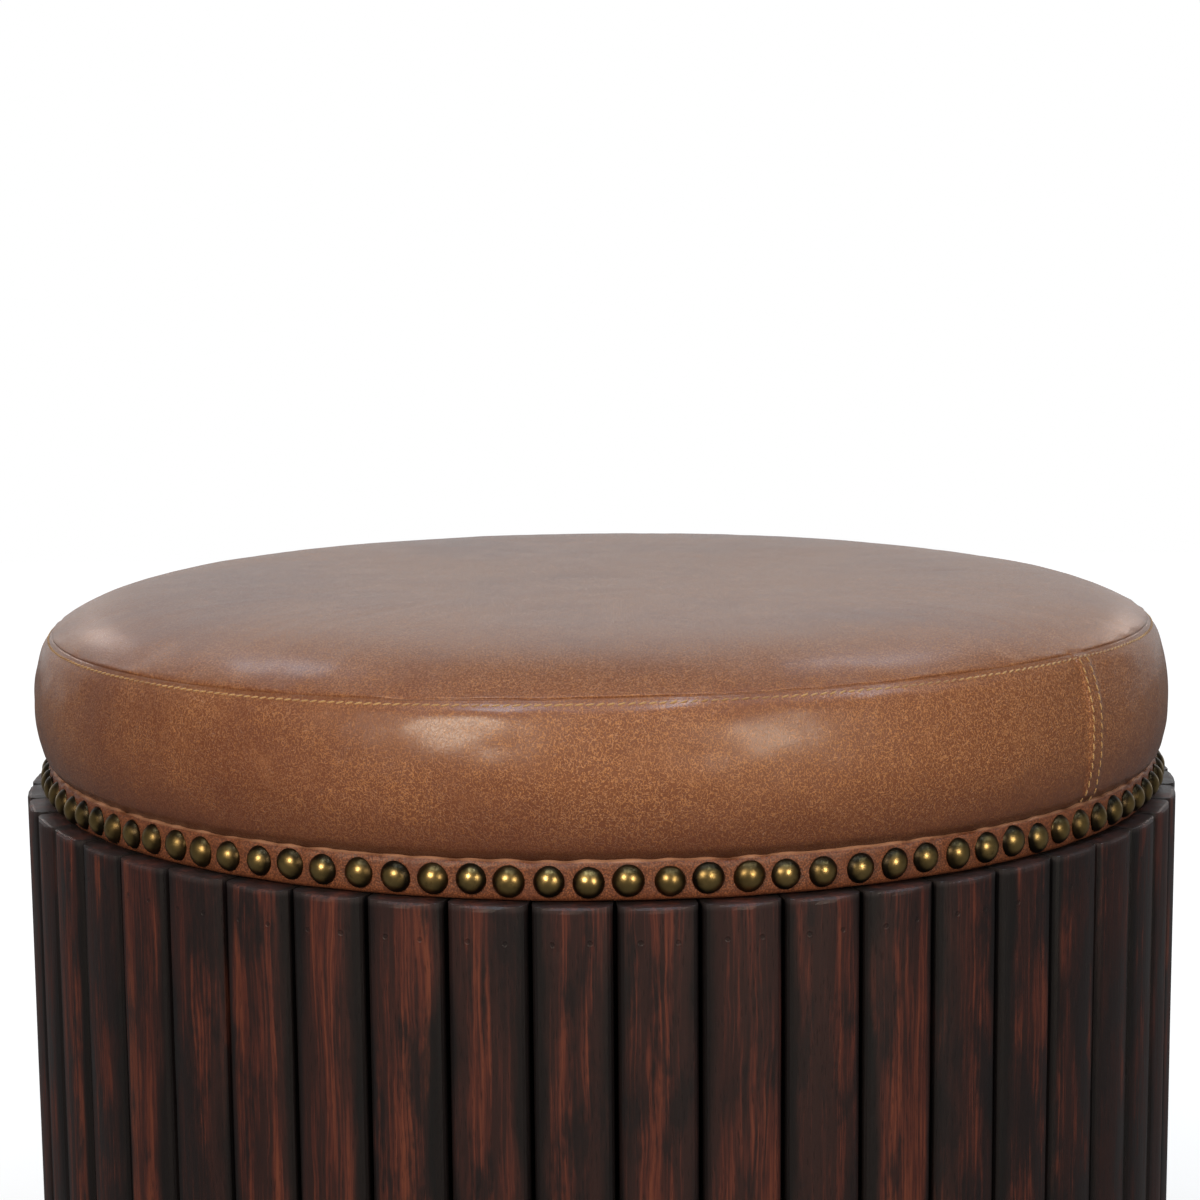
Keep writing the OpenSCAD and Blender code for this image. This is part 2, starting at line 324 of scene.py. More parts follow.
# %% [markdown]
# ## Light and floor
#
# A glossy surface tells where its lamps stand. Two warm soft boxes low in front make the broad
# shines on the cushion's side. Three small cool lamps high up make the bluish streaks under
# the seam, two thin ones behind the stool those near the front of its top, and two faint pink
# ones the glints at its ends. The room is white to the camera. In reflections it is a white
# backdrop behind the stool and a dim studio in front. The floor glows so that it looks as white
# as the room, but less so near the stool, where it keeps the shadow.

# %% Lamps
LAMP_FAR = 1.8
SEAT_FRONT_SPOT = (0.0, -0.2, 0.42)


def lamp(name, turn, rise, size, power, colour, spot=SEAT_FRONT_SPOT):
    """A lamp that is aimed at a spot from a turn from the front and a rise, in degrees."""
    light = bpy.data.lights.new(name, "AREA")
    light.shape = "RECTANGLE"
    light.size, light.size_y = size
    light.energy = power
    light.color = colour
    holder = placed(name, light)
    turn, rise = math.radians(turn), math.radians(rise)
    way = Vector((math.sin(turn) * math.cos(rise), -math.cos(turn) * math.cos(rise), math.sin(rise)))
    holder.location = Vector(spot) + way * LAMP_FAR
    holder.rotation_euler = (-way).to_track_quat("-Z", "Y").to_euler()


WARM = (1.0, 0.87, 0.7)
COOL = (0.66, 0.83, 1.0)
PINK = (1.0, 0.8, 0.7)
lamp("softbox_left", -30, 22, (0.5, 0.5), 17.0, WARM)
lamp("softbox_right", 33, 12, (0.4, 0.5), 10.6, WARM)
lamp("high_left", -39, 64, (0.16, 0.16), 6.0, COOL)
lamp("high_middle", 28, 65, (0.16, 0.16), 6.0, COOL)
lamp("high_right", 78, 52, (0.2, 0.16), 3.6, COOL)
lamp("rear_left", -155, 41, (0.26, 0.04), 1.1, COOL, (-0.115, -0.198, 0.44))
lamp("rear_right", 162, 41, (0.3, 0.04), 1.0, COOL, (0.095, -0.209, 0.442))
lamp("glint_left", -156, 18, (0.16, 0.05), 0.4, PINK, (-0.196, -0.115, 0.44))
lamp("glint_right", 157, 14, (0.1, 0.05), 0.25, PINK, (0.209, -0.105, 0.439))

# %% Room and floor
world = bpy.data.worlds.new("room")
bpy.context.scene.world = world
world.use_nodes = True
room = Tree(world.node_tree)
room.tree.nodes.clear()
ray = room.node("ShaderNodeLightPath")
mirrored = room.maths("MAXIMUM", ray.out("Is Glossy Ray"), ray.out("Is Transmission Ray"))
seen = room.maths("MAXIMUM", ray, mirrored)
to_back, to_up = room.parts(room.node("ShaderNodeTexCoord").out("Generated"))[1:]
backdrop = room.ease(to_back, 0.5, 0.85) * room.ease(to_up, 0.48, 0.72, 1.0, 0.0)
overhead = room.ease(to_up, 0.88, 0.96)
brightness = room.maths("MAXIMUM", ray, 0.1 + 0.57 * backdrop + 0.35 * overhead)
soft_light = room.node("ShaderNodeBackground", None, {"Color": (0.98, 0.99, 1.0, 1), "Strength": 0.27})
white = room.node("ShaderNodeBackground", None, {"Color": (1, 1, 1, 1), "Strength": brightness})
shown = room.node("ShaderNodeMixShader", None, {0: seen, 1: soft_light, 2: white})
room.node("ShaderNodeOutputWorld", None, {"Surface": shown})

floor_finish = Finish("floor_paint", {"Roughness": 0.9, "Specular IOR Level": 0.1, "Emission Strength": 1.0})
floor_ray = floor_finish.node("ShaderNodeLightPath")
speck = floor_finish.noise(floor_finish.place(), 40.0, 3.0)
floor_x, floor_y = floor_finish.parts(floor_finish.place())[:2]
far_off = floor_finish.ease(floor_finish.away(floor_x, floor_y), 0.4, 1.1)
floor_seen = floor_ray * (0.74 + 0.21 * far_off)
floor_finish.wear(
    Base_Color=floor_finish.blend(linear(160, 160, 160), linear(166, 166, 166), speck),
    Emission_Color=floor_finish.vector(floor_seen, floor_seen, floor_seen),
)
floor_mirrored = floor_finish.node("ShaderNodeEmission", None, {"Color": (1, 1, 1, 1), "Strength": 0.12})
floor_shown = floor_finish.node("ShaderNodeMixShader", None, {
    0: floor_ray.out("Is Glossy Ray"), 1: Wire(floor_finish, floor_finish.shader), 2: floor_mirrored,
})
floor_finish.tree.links.new(floor_shown.socket, floor_finish.end.inputs[0])
FLOOR_HALF = 4
floor_corners = [(x * FLOOR_HALF, y * FLOOR_HALF, 0) for x, y in ((-1, -1), (1, -1), (1, 1), (-1, 1))]
floor_mesh = bpy.data.meshes.new("floor")
floor_mesh.from_pydata(floor_corners, [], [(0, 1, 2, 3)])
floor_mesh.materials.append(floor_finish.material)
floor = placed("floor", floor_mesh)
bpy.context.scene.view_settings.view_transform = "Standard"
print("floor and room ready")

# %% [markdown]
# ## Making pieces
#
# A piece is either a mesh worked out here or the result of a Geometry Nodes tree. `Pattern` is
# such a tree with named inputs. `laid_out` runs it on a start mesh, and `settled` keeps the
# plain mesh that comes out, because the export can't read a live modifier.

# %% Helpers for pieces
def new_piece(name, mesh, slot, *nodes):
    """A finished mesh as a piece of the stool that stands for the named nodes."""
    piece = placed(name, mesh)
    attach(piece, "root")
    if nodes:
        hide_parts(*nodes)
    return piece


def grid_mesh(name, rows, closed_rows=False, middles=()):
    """A mesh from an array of places: rows by columns, where the columns go round and close.
    middles are the places of two points that close the first and the last row like a wheel."""
    row_count, column_count = rows.shape[:2]
    places = rows.reshape(-1, 3).tolist() + [list(m) for m in middles]
    first = np.arange(row_count * column_count).reshape(row_count, column_count)
    second = np.roll(first, -1, axis=1)
    above = np.roll(first, -1, axis=0)
    above_second = np.roll(second, -1, axis=0)
    last = row_count if closed_rows else row_count - 1
    faces = np.stack([first, second, above_second, above], axis=-1)[:last].reshape(-1, 4).tolist()
    if middles:
        hub = row_count * column_count
        faces += [[b, a, hub] for a, b in zip(first[0].tolist(), second[0].tolist())]
        faces += [[a, b, hub + 1] for a, b in zip(first[-1].tolist(), second[-1].tolist())]
    mesh = bpy.data.meshes.new(name)
    mesh.from_pydata(places, [], faces)
    mesh.shade_smooth()
    return mesh


def settled(bench, name):
    """The plain mesh that an object's modifiers make. The object itself is removed."""
    view = bpy.context.evaluated_depsgraph_get()
    mesh = bpy.data.meshes.new_from_object(bench.evaluated_get(view))
    mesh.name = name
    bpy.data.objects.remove(bench)
    return mesh


class Pattern(Tree):
    """A Geometry Nodes tree with named inputs."""

    KINDS = {int: "NodeSocketInt", float: "NodeSocketFloat"}

    def __init__(self, name, sizes):
        super().__init__(bpy.data.node_groups.new(name, "GeometryNodeTree"))
        face = self.tree.interface
        face.new_socket(name="Geometry", in_out="INPUT", socket_type="NodeSocketGeometry")
        self.keys = {}
        for label, value in sizes.items():
            item = face.new_socket(name=label, in_out="INPUT", socket_type=self.KINDS[type(value)])
            item.default_value = value
            self.keys[label] = item.identifier
        item = face.new_socket(name="Finish", in_out="INPUT", socket_type="NodeSocketMaterial")
        self.keys["Finish"] = item.identifier
        face.new_socket(name="Geometry", in_out="OUTPUT", socket_type="NodeSocketGeometry")
        self.start = self.tree.nodes.new("NodeGroupInput")

    def size(self, label):
        return Wire(self, self.start, label)

    def chance(self, low, high, seed, number):
        """A random number for each copy, the same at every run."""
        return self.node(
            "FunctionNodeRandomValue", {"data_type": "FLOAT"},
            {2: low, 3: high, "ID": number, "Seed": seed}, out=1,
        )

    def store(self, geometry, name, value, kind="FLOAT"):
        """The geometry with a value at each point, which a finish can read by its name."""
        return self.node("GeometryNodeStoreNamedAttribute", {"data_type": kind}, {
            "Geometry": geometry, "Name": name, "Value": value,
        })

    def stored(self, name, kind="FLOAT"):
        return self.node("GeometryNodeInputNamedAttribute", {"data_type": kind}, {"Name": name})

    def finish(self, geometry):
        whole = self.node("GeometryNodeRealizeInstances", None, {"Geometry": geometry})
        dressed = self.node("GeometryNodeSetMaterial", None, {
            "Geometry": whole, "Material": self.size("Finish"),
        })
        self.node("NodeGroupOutput", None, {"Geometry": dressed})

    def laid_out(self, name, start, values):
        """The plain mesh that the tree makes on a start mesh with these inputs."""
        bench = placed(name, start)
        modifier = bench.modifiers.new("pattern", "NODES")
        modifier.node_group = self.tree
        for label, value in values.items():
            modifier[self.keys[label]] = value
        return settled(bench, name)


print("piece helpers ready")

# %% [markdown]
# ## Slats
#
# The drum's slats are strips of one section: a gently swelled face, rounded front corners and
# two eased ends. They are cut and stained by hand, so no two are quite alike. A shape that
# follows a rule suits Geometry Nodes: one block of fine squares is copied round the drum, and
# each point is moved to its place in the section. Every slat leans, thins and waves a little.

# %% The tree for the slats
slats = Pattern("slat_ring", {
    "First": 0, "Count": 2, "Pitch": SLAT_PITCH, "Turn": math.radians(1.0), "Back": SLAT_BACK * MM,
    "Width": SLAT_WIDE * MM, "Thickness": SLAT_THICK * MM, "Swell": 2.2 * MM, "Corner": 2.4 * MM,
    "Ease": 2.0 * MM, "Length": SLAT_LONG * MM, "Foot": SLAT_FOOT * MM, "Wave": 0.35 * MM,
})
block = slats.node("GeometryNodeMeshCube", None, {
    "Size": (2.0, 1.0, 1.0), "Vertices X": 19, "Vertices Y": 3, "Vertices Z": 61,
})
row = slats.node("GeometryNodeMeshLine", None, {"Count": slats.size("Count"), "Offset": (0.0, 0.0, 0.0)})
number = slats.node("GeometryNodeInputIndex") + slats.size("First")
row = slats.store(row, "slat", number)
block = slats.store(block, "cell", slats.node("GeometryNodeInputPosition"), "FLOAT_VECTOR")
ring = slats.node("GeometryNodeInstanceOnPoints", None, {"Points": row, "Instance": block})
ring = slats.node("GeometryNodeRealizeInstances", None, {"Geometry": ring})
slat = slats.stored("slat")
cell_x, cell_y, cell_z = slats.parts(slats.stored("cell", "FLOAT_VECTOR"))

# %% The slat's section, worked out at each point
half = slats.size("Width") * 0.5
across = slats.maths("SINE", cell_x * (math.pi / 2)) * half
length = slats.size("Length") - slats.chance(0.0, 0.5 * MM, 3, slat)
height = (0.5 - 0.5 * slats.maths("COSINE", (cell_z + 0.5) * math.pi)) * length
side = abs(across)
grain_line = slats.vector(across * 60.0, slat * 3.7, height * 9.0)
wave = slats.noise(grain_line, 1.0, 3.0) - 0.5
nick_place = slats.vector(across * 90.0, slat * 5.1, height * 55.0)
nick = slats.ease(slats.noise(nick_place, 1.0, 2.0), 0.6, 0.75)
corner = slats.size("Corner") * (1.0 + 0.5 * wave)
past = slats.maths("MAXIMUM", side - half + corner, 0.0) / corner
corner_drop = corner * (1.0 - slats.arc(past))
swell_drop = slats.size("Swell") * (side / half) ** 2.0
end = slats.maths("MAXIMUM", slats.size("Ease") - slats.maths("MINIMUM", height, length - height), 0.0)
end = end / slats.size("Ease")
end_drop = slats.size("Ease") * (1.0 - slats.arc(end))
thickness = slats.size("Thickness") - slats.chance(0.0, 0.3 * MM, 11, slat)
thickness = thickness - slats.size("Wave") * (0.5 + wave)
face = thickness - slats.maths("MAXIMUM", corner_drop + swell_drop, end_drop) - nick * 0.15 * MM
depth = (0.5 - cell_y) * face
lean = slats.chance(-0.15 * MM, 0.15 * MM, 19, slat) * (height / length - 0.5)
angle = slats.size("Turn") + slats.size("Pitch") * (slat + 0.5)
back = -1.0 * (slats.size("Back") + depth)
turned = slats.node("ShaderNodeVectorRotate", {"rotation_type": "Z_AXIS"}, {
    "Vector": slats.vector(across * 0.996 + lean, back, slats.size("Foot") + height), "Angle": angle,
})
ring = slats.store(ring, "grain", slats.vector(across, depth + slat * 0.31, height), "FLOAT_VECTOR")
ring = slats.node("GeometryNodeSetPosition", None, {"Geometry": ring, "Position": turned})
sharp = slats.maths("LESS_THAN", slats.node("GeometryNodeInputMeshEdgeAngle"), 0.7)
ring = slats.node("GeometryNodeSetShadeSmooth", {"domain": "EDGE"}, {"Geometry": ring, "Shade Smooth": sharp})
slats.finish(ring)
print("slat tree has", len(slats.tree.nodes), "nodes")

# %% [markdown]
# ### Stained wood
#
# The wood is a coarse red-brown timber under a nearly black stain that was rubbed back, so the
# red shows in long streaks on the swell of each face. Towards its edges each face turns black,
# partly from stain left in the grooves and partly as painted shade where the corners turn into
# the gaps. A painted grey sheen lies on the eased ends. The figure is noise that is stretched
# along the slat, read from the `grain` attribute that the tree stored: across the slat, its depth
# and its height. Headless pins near the ends are filled and stained over, and show as small dark
# marks.

# %% The finish of the slats
wood = Finish("stained_wood", {"Specular IOR Level": 0.3, "Coat Roughness": 0.3, "Coat IOR": 1.4})
grain = wood.attribute("grain")
wood_x, wood_y, wood_z = wood.parts(grain)
tone = wood.own_tone("slat") - 0.5
wander = wood.noise(grain, (90, 90, 14), 3.0, 0.55) - 0.5
stain = wood.noise(grain, (26, 26, 7), 3.0, 0.6) - 0.5
fibre_place = wood.vector(wood_x + wander * 0.006, wood_y, wood_z)
streak = wood.noise(fibre_place, (150, 150, 5), 3.0, 0.55)
patch = wood.noise(grain, (70, 70, 22), 4.0, 0.65)
fibre = wood.noise(fibre_place, (900, 900, 22), 3.0, 0.6)
pore = wood.node("ShaderNodeTexVoronoi", {"feature": "F1"}, {
    "Vector": wood.stretch(fibre_place, (1100, 1100, 130)), "Scale": 1.0,
})
slat_side = abs(wood_x)
# Stain and painted shade: each face turns black towards its edges, where its corners turn into the gaps.
edge_stain_and_shade = wood.ease(slat_side + wander * 0.01 + stain * 0.016, 0.0086, 0.0132)
end_gap = wood.maths("MINIMUM", wood_z, SLAT_LONG * MM - wood_z)
# Painted sheen: a grey strip on the eased ends and tops of the slats.
painted_end_sheen = wood.ease(end_gap, 0.0010, 0.0030, 1.0, 0.0)
bare = 1 - edge_stain_and_shade
red = wood.ease(streak + 0.5 * (patch - 0.5) + 0.7 * (fibre - 0.5) + 0.12 * tone, 0.42, 0.68) * bare
hot = wood.ease(streak + 0.4 * (patch - 0.5) + 0.9 * (fibre - 0.5) + 0.1 * tone, 0.54, 0.84) * bare
black = wood.ease(patch + 0.2 * (fibre - 0.5) - 0.3 * (streak - 0.5) + 0.12 * tone, 0.36, 0.52, 1.0, 0.0)

# %% Pin marks and the wood's colours
PIN_SIDE = 6.5
PIN_END = 13.0
pin_out = slat_side - PIN_SIDE * MM - wander * 0.004
pin_up = end_gap - PIN_END * MM - wander * 0.004
pin_gap = wood.away(pin_out, pin_up)
pin = wood.ease(pin_gap, 0.0006, 0.0011, 1.0, 0.0)
pin_ring = wood.ease(abs(pin_gap - 0.0012), 0.0, 0.0005, 1.0, 0.0)
colour = wood.layers(
    linear(46, 28, 26),
    ((92, 42, 31), red * 0.62),
    ((140, 76, 48), hot * 0.33),
    ((25, 20, 21), black * 0.76),
    ((17, 16, 17), edge_stain_and_shade * 0.85),
    ((14, 11, 11), wood.ease(pore, 0.12, 0.3, 0.4, 0.0)),
    ((92, 84, 84), painted_end_sheen * (0.04 + 0.24 * fibre)),
    ((22, 18, 18), pin * 0.45),
)
relief = streak * 0.5 + fibre * 0.35 - pin * 0.6 + pin_ring * 0.1 + wood.ease(pore, 0.1, 0.35) * 0.2
stained_wood = wood.wear(
    Base_Color=colour,
    Roughness=0.42 + 0.22 * (fibre - 0.5) + 0.1 * patch,
    Coat_Weight=0.1 + 0.2 * black,
    Normal=wood.bump(relief, 0.0004, 0.6),
)
print("wood finish has", len(wood.tree.nodes), "nodes")

# %% Slats, two at a time
slat_nodes = sorted(name for name in frame["nodes"] if name.startswith("slats_"))
empty = bpy.data.meshes.new("empty")
for place, node_name in enumerate(slat_nodes):
    mesh = slats.laid_out(node_name + "_wood", empty, {"First": 2 * place, "Finish": stained_wood})
    new_piece(node_name + "_wood", mesh, "slat_wood", node_name)
print("slat pieces:", len(slat_nodes), "with", len(mesh.polygons), "faces each")

# %% [markdown]
# ## Cushion
#
# The cover is a round top panel sewn to an upright strip, the boxing, over foam and wadding.
# It is pulled tight and nailed round the foot, so it swells between the nails and the seam. A
# cloth simulation gives that swelling: the cover starts a little too small, is held where it
# is sewn and nailed, and is blown up until it has gone as far as the real leather would. The
# seam runs a little uphill to the right, as the real one does.
#
# The cover is rows of points round the drum. They begin in the middle of its underside, go
# round the foot, up the side to the seam and over the crown to the middle of its top. Extra
# columns, NEAR_SEAM millimetres past each side seam, give its lap a crisp edge.

# %% The cover's outline
COVER_IN = 2.2
COVER_COLUMNS = 324
SIDE_RISE = 54.0
FOOT_ROWS = 8
SIDE_STEPS = 28
SEAM_ROW = FOOT_ROWS + SIDE_STEPS - 1
CROWN_STEPS = 30
CROWN_POWER = 9.6
TOP_EDGE = 0.9
TOP_SPREAD = 234.5
NEAR_SEAM = np.array([-2.2, -1.5, -0.9, 0.0, 1.6, 3.6, 5.6, 7.0, 8.0, 9.4])


def seam_height(turn):
    """The seam's height above the slats: level, but for its tilt and a slight unevenness."""
    tilt = np.sin(turn) + 0.25 * np.cos(turn)
    sway = 1.35 * np.sin(2 * turn) + 0.65 * np.cos(2 * turn)
    return SEAM_H + tilt + sway + 0.15 * np.sin(7 * turn + 2.0)


def side_radius(t):
    """The side's radius, from the band at 0 to the seam at 1: fullest a little over half way."""
    full = np.abs(t) ** 0.78 * np.abs(1 - t) ** 0.74 / 0.349
    tucked = np.exp(-(t / 0.04) ** 2)
    return SIDE_R + (SEAM_R - SIDE_R) * t + 6.2 * full - tucked


def lap(turn):
    """How far the felled side seams stand proud: 0 away from them, 1 on them."""
    proud = np.zeros_like(turn)
    for seam in SIDE_SEAMS:
        along = (turn - seam) * SIDE_R
        rise = 0.5 + 0.5 * np.tanh((along + 1.2) / 0.5)
        fall = 0.5 - 0.5 * np.tanh((along - 7.6) / 1.0)
        proud = np.maximum(proud, rise * fall)
    return proud


def cover_turns():
    """The columns' turns: even, but closer together at the two side seams."""
    even = np.arange(COVER_COLUMNS) * 2 * math.pi / COVER_COLUMNS
    near = np.concatenate([seam + NEAR_SEAM / SIDE_R for seam in SIDE_SEAMS])
    clear = [all(not -4.6 < (turn - seam) * SIDE_R < 12.0 for seam in SIDE_SEAMS) for turn in even]
    return np.sort(np.concatenate([even[clear], near]))


turns = cover_turns()
print("columns round the cover:", len(turns))


# %% The cover's rows
def cover_rows(turn, inset):
    """Each row of the cover, from its underside's middle to its top's: the radii, the heights,
    how firmly it is held from 0 to 1, and how far it starts inside its outline."""
    seam = seam_height(turn)
    flat = np.ones_like(turn)
    under = DECK_T + 0.3
    rows = [(0.5, under), (120, under), (RIM_R - 4, under), (RIM_R + 0.2, under), (RIM_R + 0.2, BAND_FOOT)]
    rows += [(BAND_IN - 0.2, BAND_FOOT), (BAND_IN - 0.2, 8.0), (BAND_IN - 0.2, BAND_TOP - 1.0)]
    rows = [(r * flat, z * flat, 1.0, 0.0) for r, z in rows]
    for i in range(1, SIDE_STEPS):
        t = 0.5 - 0.5 * math.cos(math.pi * i / SIDE_STEPS)
        sunk = inset * min(1.0, max(0.0, (SIDE_RISE * t - 3.5) / 12.0))
        rows.append((side_radius(t) * flat, BAND_TOP + (seam - BAND_TOP) * t, 0.0, sunk))
    rows.append(((SEAM_R - 0.7) * flat, seam - 0.1, 1.0, 0.0))
    for i in range(CROWN_STEPS):
        q = 1 - (TOP_EDGE + TOP_SPREAD * (i / (CROWN_STEPS - 1)) ** 1.5) / SEAM_R
        loose = min(1.0, max(0.0, (q - 0.25) / 0.4))
        loose = loose * loose * (3 - 2 * loose)
        rows.append((SEAM_R * q * flat, TOP_H - (TOP_H - seam) * q ** CROWN_POWER, 1 - loose, inset * loose))
    return rows


cover = cover_rows(turns, COVER_IN)
print("rows of the cover:", len(cover), "points:", len(cover) * len(turns))

# %% [markdown]
# ### Blowing the cover up
#
# Blender's cloth needs a closed mesh, a group of held points and a pressure. The points may
# only move as far as the leather gives, so the result is capped. The modifier is then dropped
# and the moved points are kept.

# %% The simulation
LAST_FRAME = 20
TIGHT_LEATHER = {
    "quality": 4, "mass": 0.4, "tension_stiffness": 12, "compression_stiffness": 12,
    "shear_stiffness": 4, "bending_stiffness": 1.5, "use_pressure": True,
    "uniform_pressure_force": 4, "vertex_group_mass": "held",
}


def blown_up(mesh, held, most):
    """The places of a mesh's points after its cover has been swollen by pressure."""
    start = np.array([v.co for v in mesh.vertices])
    bench = placed("swelling", mesh)
    group = bench.vertex_groups.new(name="held")
    for weight in np.unique(held[held > 0]):
        group.add([int(i) for i in np.flatnonzero(held == weight)], float(weight), "REPLACE")
    cloth = bench.modifiers.new("cloth", "CLOTH")
    for setting, value in TIGHT_LEATHER.items():
        setattr(cloth.settings, setting, value)
    cloth.settings.effector_weights.gravity = 0
    cloth.point_cache.frame_start = 1
    cloth.point_cache.frame_end = LAST_FRAME
    for step in range(1, LAST_FRAME + 1):
        bpy.context.scene.frame_set(step)
    view = bpy.context.evaluated_depsgraph_get()
    moved = bench.evaluated_get(view).to_mesh()
    end = np.array([v.co for v in moved.vertices])
    bpy.context.scene.frame_set(1)
    bpy.data.objects.remove(bench)
    shift = end - start
    gone = np.linalg.norm(shift, axis=1, keepdims=True)
    print("the cover moved by up to", round(float(gone.max()) / MM, 2), "mm before the cap")
    return start + shift * (most * np.tanh(gone / most) / np.maximum(gone, 1e-9))


def hubs(places):
    """The middles of the cover's underside and of its top."""
    return [places[end].mean(axis=0) for end in (0, -1)]


def noise_round(turn, fine, level):
    """Smooth noise round the drum, from about -1 to 1, that closes on itself."""
    spots = [Vector((math.sin(a) * fine, math.cos(a) * fine, level)) for a in turn]
    return np.array([noise.noise(spot) for spot in spots])


def start_places():
    """The cover before it is blown up: a little small, and not quite even."""
    rows = []
    for r, z, firm, sunk in cover:
        on_top = z > seam_height(turns) + 0.2
        small = sunk * (1 + 0.25 * noise_round(turns, 30, z[0] / 12))
        rows.append(on_seat(turns, r - np.where(on_top, 0, small), z - np.where(on_top, small, 0)))
    return np.stack(rows)


def drawn_to_outline(places):
    """The same places, with each row's average radius and height as on the real cushion. On
    the top, most of the unevenness is stroked out by hand, as an upholsterer does."""
    outward = np.stack([np.sin(turns), -np.cos(turns)], axis=-1)
    for row, (r, z, firm, sunk) in enumerate(cover):
        away = on_seat(turns, r, z) - places[row]
        places[row, :, :2] += (away[:, :2] * outward).sum(axis=-1).mean() * outward
        places[row, :, 2] += away[:, 2].mean()
        if row > SEAM_ROW + 1:
            places[row] += 0.7 * (on_seat(turns, r, z) - places[row])
    return places


places = start_places()
cover_mesh = grid_mesh("cover", places, middles=hubs(places))
firmness = np.append(np.repeat([firm for r, z, firm, sunk in cover], len(turns)), [1.0, 1.0])
places = blown_up(cover_mesh, firmness, 1.5 * COVER_IN * MM)[:-2].reshape(places.shape)
places = drawn_to_outline(places)
print("the cushion is now", round(float(np.ptp(places[..., 2])) / MM, 1), "mm tall")

# %% [markdown]
# ### What hand work adds
#
# After the simulation the cover gets what is finer than its cloth: the felled side seams that
# stand proud, the groove that the stitching pulls under the seam, the slight pull at each nail,
# and the slow unevenness of hide over foam. One step of subdivision rounds it all off.

# %% Hand work on the cover
def nail_phase(turn):
    """A turn as a phase that grows by one full round from each nail to the next."""
    return NAIL_COUNT * (turn - NAIL_START)


outward = np.stack([np.sin(turns), -np.cos(turns), 0 * turns], axis=-1)
heights = (places[..., 2] / MM - SLAT_TOP)
row_number = np.arange(len(cover))[:, None]
on_side = (heights > BAND_TOP) & (row_number <= SEAM_ROW)
rise = np.clip((heights - BAND_TOP) / SIDE_RISE, 0, 1)
proud = 0.9 * lap(turns)[None, :] * on_side * np.clip(rise * 12, 0, 1)
at_nails = np.cos(nail_phase(turns))[None, :]
pulled = 0.35 * at_nails * np.exp(-((heights - 17) / 6) ** 2) * on_side
hide = np.zeros(heights.shape)
for r in range(FOOT_ROWS, len(cover)):
    for c in range(len(turns)):
        spot = Vector(places[r, c])
        hide[r, c] = 0.9 * noise.noise(spot * 9) + 0.35 * noise.noise(spot * 27)
below_seam = seam_height(turns)[None, :] - heights
near_seam = np.exp(-(below_seam / 3.0) ** 2)
stitched_in = 1.1 * np.exp(-((below_seam - 0.9) / 2.3) ** 2) * on_side
moved_out = proud - pulled - stitched_in + hide * on_side * (1 - near_seam)
places = places + (moved_out * MM)[..., None] * outward[None, :, :]
on_top = row_number > SEAM_ROW + 1
places[..., 2] += hide * on_top * 0.7 * MM
print("proud seams and uneven hide added")

# %% The finished cushion
def cushion_mesh(name, places):
    """The cover with its map in metres: round the seam, and up from the seam."""
    mesh = grid_mesh(name, places)
    row_count, column_count = places.shape[:2]
    steps = np.linalg.norm(np.diff(places, axis=0), axis=-1).mean(axis=1)
    up = np.concatenate([[0], np.cumsum(steps)])
    up = up - up[SEAM_ROW]
    turn = np.append(turns, turns[0] + 2 * math.pi) * SEAM_R * MM
    row, column = np.divmod(np.arange((row_count - 1) * column_count), column_count)
    spots = np.stack([
        np.stack([turn[column + c], up[row + r]], axis=-1) for c, r in ((0, 0), (1, 0), (1, 1), (0, 1))
    ], axis=1)
    layer = mesh.uv_layers.new(name="leather")
    layer.data.foreach_set("uv", spots.ravel())
    return mesh


def rounded(name, mesh):
    """The same mesh after one level of subdivision, with its two ends closed like wheels."""
    bench = placed(name, mesh)
    rounding = bench.modifiers.new("rounding", "SUBSURF")
    rounding.levels = rounding.render_levels = 1
    smooth = settled(bench, name)
    work = bmesh.new()
    work.from_mesh(smooth)
    bmesh.ops.holes_fill(work, edges=[edge for edge in work.edges if edge.is_boundary], sides=0)
    ends = bmesh.ops.poke(work, faces=[face for face in work.faces if len(face.verts) > 4])
    for face in ends["faces"]:
        face.smooth = True
    work.to_mesh(smooth)
    work.free()
    return smooth


seat_mesh = rounded("seat_cushion", cushion_mesh("seat_cushion", places))
print("cushion faces:", len(seat_mesh.polygons))

# %% [markdown]
# ### Leather
#
# The hide is a waxed tan with a very fine grain. Its colour is rubbed light on the winding
# ridges of the grain and lies darker between them, and it clouds slowly over the hide. The same
# ridges drive the bump and the colour, so that the two agree. Painted shade darkens the side
# towards its foot, and most just above the band, where the cover tucks in under it.

# %% The finish of the seat
leather = Finish("tan_hide", {"Specular IOR Level": 0.5, "Coat Roughness": 0.25, "Coat IOR": 1.45})
where = leather.place()
side_z = leather.parts(where)[2]
winding = leather.noise(where, (940, 940, 780), 1.5, 0.6)
ridge = leather.ease(abs(winding - 0.5), 0.0, 0.06, 1.0, 0.0)
pit = leather.ease(leather.noise(where, (1300, 1300, 1300), 2.0), 0.52, 0.7)
cloud = leather.noise(where, 9.0, 3.0, 0.55)
mottle = leather.noise(where, 70.0, 4.0, 0.6)
cloudy = leather.ease(cloud + 0.4 * (mottle - 0.5), 0.42, 0.7)
crease = leather.noise(where, (150, 150, 260), 4.0, 0.65, 0.8)
up_seam = leather.parts(leather.node("ShaderNodeUVMap", {"uv_map": "leather"}))[1]
stitch_line = leather.ease(abs(up_seam + 0.001), 0.0004, 0.002, 1.0, 0.0)
# Painted shade: the side darkens towards its foot, where it turns down from the light, and most just above
# the band, where the cover tucks in under it.
painted_foot_shade = leather.ease(
    side_z + 0.006 * (cloud - 0.5), (SLAT_TOP + 16) * MM, (SLAT_TOP + 46) * MM, 1.0, 0.0,
)
band_shade = leather.ease(
    side_z + 0.003 * (mottle - 0.5), (SLAT_TOP + 15.6) * MM, (SLAT_TOP + 20) * MM, 1.0, 0.0,
)
